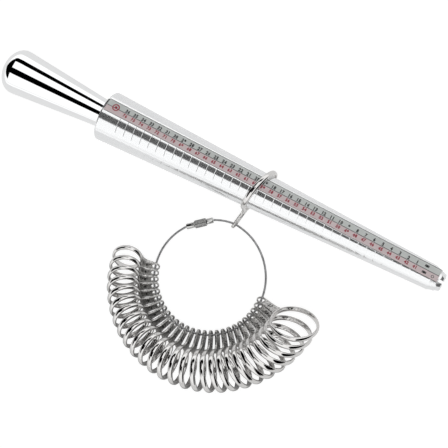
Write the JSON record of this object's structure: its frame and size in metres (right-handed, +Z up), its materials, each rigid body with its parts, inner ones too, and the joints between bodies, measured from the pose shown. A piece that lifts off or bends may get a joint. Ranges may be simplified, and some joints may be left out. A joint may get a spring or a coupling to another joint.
{
  "type": "ring mandrel",
  "caption": "Tapered ring mandrel with a turned handle, lying flat, hooked to a wire loop on which a fan of graded finger ring gauges stands.",
  "frame": {"origin": "on the table, under the middle of the mandrel and the gauges together; the wire and its connector are not counted", "axes": "+X along the mandrel towards its tip, +Y from the wire loop towards the mandrel, +Z up"},
  "size_m": [0.2438, 0.1154, 0.0254],
  "materials": {
    "polished_aluminium": "polished, with two printed size scales and fine engraved rings",
    "handle_chrome": "mirror",
    "stud_steel": "zinc plated",
    "gauge_steel": "nickel plated, polished bands and grained tabs",
    "wire_strand": "fine twisted strands",
    "connector_plating": "plated, knurled sleeve"
  },
  "bodies": {
    "mandrel": {"mandrel_body": "polished_aluminium", "handle_grip": "handle_chrome", "joining_stud": "stud_steel"},
    "hook_gauge": {"gauge_28": "gauge_steel"},
    "loop": {"wire_cable": "wire_strand", "cable_end_captive": "connector_plating", "cable_end_threaded": "connector_plating"},
    "sleeve": {"connector_sleeve": "connector_plating"},
    "ring_01": {"gauge_01": "gauge_steel"},
    "ring_02": {"gauge_02": "gauge_steel"},
    "ring_03": {"gauge_03": "gauge_steel"},
    "ring_04": {"gauge_04": "gauge_steel"},
    "ring_05": {"gauge_05": "gauge_steel"},
    "ring_06": {"gauge_06": "gauge_steel"},
    "ring_07": {"gauge_07": "gauge_steel"},
    "ring_08": {"gauge_08": "gauge_steel"},
    "ring_09": {"gauge_09": "gauge_steel"},
    "ring_10": {"gauge_10": "gauge_steel"},
    "ring_11": {"gauge_11": "gauge_steel"},
    "ring_12": {"gauge_12": "gauge_steel"},
    "ring_13": {"gauge_13": "gauge_steel"},
    "ring_14": {"gauge_14": "gauge_steel"},
    "ring_15": {"gauge_15": "gauge_steel"},
    "ring_16": {"gauge_16": "gauge_steel"},
    "ring_17": {"gauge_17": "gauge_steel"},
    "ring_18": {"gauge_18": "gauge_steel"},
    "ring_19": {"gauge_19": "gauge_steel"},
    "ring_20": {"gauge_20": "gauge_steel"},
    "ring_21": {"gauge_21": "gauge_steel"},
    "ring_22": {"gauge_22": "gauge_steel"},
    "ring_23": {"gauge_23": "gauge_steel"},
    "ring_24": {"gauge_24": "gauge_steel"},
    "ring_25": {"gauge_25": "gauge_steel"},
    "ring_26": {"gauge_26": "gauge_steel"},
    "ring_27": {"gauge_27": "gauge_steel"}
  },
  "joints": [
    {"name": "hook_gauge_slide", "type": "slide", "parent": "mandrel", "child": "hook_gauge", "axis": [1, 0, 0], "range_m": [-0.004, 0.106]},
    {"name": "loop_swing", "type": "hinge", "parent": "hook_gauge", "child": "loop", "pos_m": [0.01829, 0.02558, 0.0024], "axis": [-0.9996, -0.0279, 0], "range_deg": [0, 50]},
    {"name": "sleeve_turn", "type": "hinge", "parent": "loop", "child": "sleeve", "pos_m": [-0.00318, 0.01353, 0.0024], "axis": [0.7658, 0.643, 0], "range_deg": [0, 720]},
    {"name": "ring_14_slide", "type": "hinge", "parent": "loop", "child": "ring_14", "pos_m": [0.0191, -0.00351, 0.0024], "axis": [0, 0, 1], "range_deg": [-7, 7]},
    {"name": "ring_13_slide", "type": "hinge", "parent": "ring_14", "child": "ring_13", "pos_m": [0.0191, -0.00351, 0.0024], "axis": [0, 0, 1], "range_deg": [-3, 0]},
    {"name": "ring_12_slide", "type": "hinge", "parent": "ring_13", "child": "ring_12", "pos_m": [0.0191, -0.00351, 0.0024], "axis": [0, 0, 1], "range_deg": [-3, 0]},
    {"name": "ring_11_slide", "type": "hinge", "parent": "ring_12", "child": "ring_11", "pos_m": [0.0191, -0.00351, 0.0024], "axis": [0, 0, 1], "range_deg": [-3, 0]},
    {"name": "ring_10_slide", "type": "hinge", "parent": "ring_11", "child": "ring_10", "pos_m": [0.0191, -0.00351, 0.0024], "axis": [0, 0, 1], "range_deg": [-3, 0]},
    {"name": "ring_09_slide", "type": "hinge", "parent": "ring_10", "child": "ring_09", "pos_m": [0.0191, -0.00351, 0.0024], "axis": [0, 0, 1], "range_deg": [-3, 0]},
    {"name": "ring_08_slide", "type": "hinge", "parent": "ring_09", "child": "ring_08", "pos_m": [0.0191, -0.00351, 0.0024], "axis": [0, 0, 1], "range_deg": [-3, 0]},
    {"name": "ring_07_slide", "type": "hinge", "parent": "ring_08", "child": "ring_07", "pos_m": [0.0191, -0.00351, 0.0024], "axis": [0, 0, 1], "range_deg": [-3, 0]},
    {"name": "ring_06_slide", "type": "hinge", "parent": "ring_07", "child": "ring_06", "pos_m": [0.0191, -0.00351, 0.0024], "axis": [0, 0, 1], "range_deg": [-3, 0]},
    {"name": "ring_05_slide", "type": "hinge", "parent": "ring_06", "child": "ring_05", "pos_m": [0.0191, -0.00351, 0.0024], "axis": [0, 0, 1], "range_deg": [-3, 0]},
    {"name": "ring_04_slide", "type": "hinge", "parent": "ring_05", "child": "ring_04", "pos_m": [0.0191, -0.00351, 0.0024], "axis": [0, 0, 1], "range_deg": [-3, 0]},
    {"name": "ring_03_slide", "type": "hinge", "parent": "ring_04", "child": "ring_03", "pos_m": [0.0191, -0.00351, 0.0024], "axis": [0, 0, 1], "range_deg": [-3, 0]},
    {"name": "ring_02_slide", "type": "hinge", "parent": "ring_03", "child": "ring_02", "pos_m": [0.0191, -0.00351, 0.0024], "axis": [0, 0, 1], "range_deg": [-3, 0]},
    {"name": "ring_01_slide", "type": "hinge", "parent": "ring_02", "child": "ring_01", "pos_m": [0.0191, -0.00351, 0.0024], "axis": [0, 0, 1], "range_deg": [-3, 0]},
    {"name": "ring_15_slide", "type": "hinge", "parent": "ring_14", "child": "ring_15", "pos_m": [0.0191, -0.00351, 0.0024], "axis": [0, 0, 1], "range_deg": [0, 1.4]},
    {"name": "ring_16_slide", "type": "hinge", "parent": "ring_15", "child": "ring_16", "pos_m": [0.0191, -0.00351, 0.0024], "axis": [0, 0, 1], "range_deg": [0, 1.4]},
    {"name": "ring_17_slide", "type": "hinge", "parent": "ring_16", "child": "ring_17", "pos_m": [0.0191, -0.00351, 0.0024], "axis": [0, 0, 1], "range_deg": [0, 1.4]},
    {"name": "ring_18_slide", "type": "hinge", "parent": "ring_17", "child": "ring_18", "pos_m": [0.0191, -0.00351, 0.0024], "axis": [0, 0, 1], "range_deg": [0, 1.4]},
    {"name": "ring_19_slide", "type": "hinge", "parent": "ring_18", "child": "ring_19", "pos_m": [0.0191, -0.00351, 0.0024], "axis": [0, 0, 1], "range_deg": [0, 1.4]},
    {"name": "ring_20_slide", "type": "hinge", "parent": "ring_19", "child": "ring_20", "pos_m": [0.0191, -0.00351, 0.0024], "axis": [0, 0, 1], "range_deg": [0, 1.4]},
    {"name": "ring_21_slide", "type": "hinge", "parent": "ring_20", "child": "ring_21", "pos_m": [0.0191, -0.00351, 0.0024], "axis": [0, 0, 1], "range_deg": [0, 1.4]},
    {"name": "ring_22_slide", "type": "hinge", "parent": "ring_21", "child": "ring_22", "pos_m": [0.0191, -0.00351, 0.0024], "axis": [0, 0, 1], "range_deg": [0, 1.4]},
    {"name": "ring_23_slide", "type": "hinge", "parent": "ring_22", "child": "ring_23", "pos_m": [0.0191, -0.00351, 0.0024], "axis": [0, 0, 1], "range_deg": [0, 1.4]},
    {"name": "ring_24_slide", "type": "hinge", "parent": "ring_23", "child": "ring_24", "pos_m": [0.0191, -0.00351, 0.0024], "axis": [0, 0, 1], "range_deg": [0, 1.4]},
    {"name": "ring_25_slide", "type": "hinge", "parent": "ring_24", "child": "ring_25", "pos_m": [0.0191, -0.00351, 0.0024], "axis": [0, 0, 1], "range_deg": [0, 1.4]},
    {"name": "ring_26_slide", "type": "hinge", "parent": "ring_25", "child": "ring_26", "pos_m": [0.0191, -0.00351, 0.0024], "axis": [0, 0, 1], "range_deg": [0, 1.4]},
    {"name": "ring_27_slide", "type": "hinge", "parent": "ring_26", "child": "ring_27", "pos_m": [0.0191, -0.00351, 0.0024], "axis": [0, 0, 1], "range_deg": [0, 1.4]}
  ]
}
